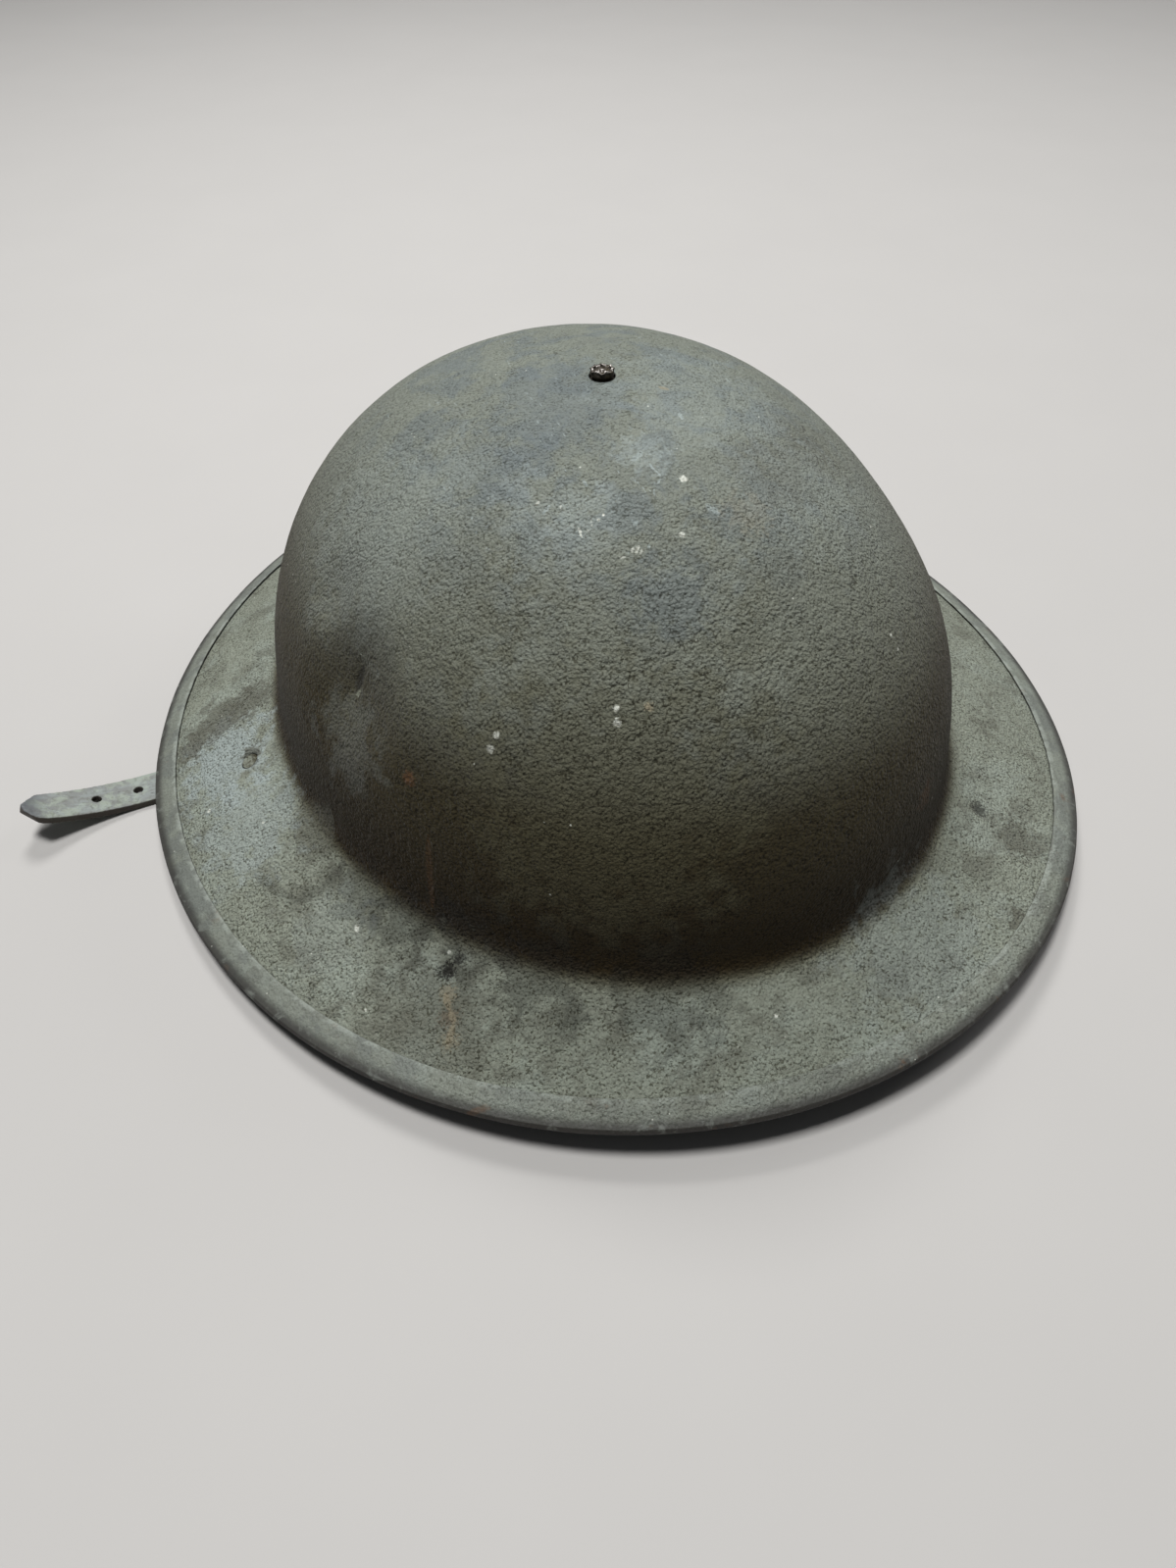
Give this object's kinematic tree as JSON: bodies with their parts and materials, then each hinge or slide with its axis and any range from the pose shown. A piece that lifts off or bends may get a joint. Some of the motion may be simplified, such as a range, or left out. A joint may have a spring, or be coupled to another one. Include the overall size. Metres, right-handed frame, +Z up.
{
  "type": "brodie helmet",
  "caption": "Shallow oval steel helmet with a wide sloping brim, a folded rim, a crown rivet and a buckled leather chin strap whose free end lies out at one side.",
  "frame": {"origin": "middle of the underside of the whole part, with the strap's free end counted, on the plane that it stands on", "axes": "+Z up, -Y towards the helmet's front, -X towards the side where the strap's free end comes out"},
  "size_m": [0.321, 0.3018, 0.1218],
  "materials": {
    "shell_paint": "worn matt olive grey paint with coarse sand in it",
    "rim_paint": "worn smooth dark slate paint",
    "bare_rivet": "tarnished, bright on its torn lip",
    "dark_steel": "dark and dull",
    "strap_leather": "grey and dry with a dark edge"
  },
  "bodies": {
    "root": {"shell": "shell_paint", "rim_band": "rim_paint", "crown_rivet": "bare_rivet", "bale_left": "dark_steel", "bale_right": "dark_steel", "bale_rivet_left": "dark_steel", "bale_rivet_right": "dark_steel", "chin_strap_long": "strap_leather", "chin_strap_short": "strap_leather", "buckle": "dark_steel"}
  },
  "joints": []
}
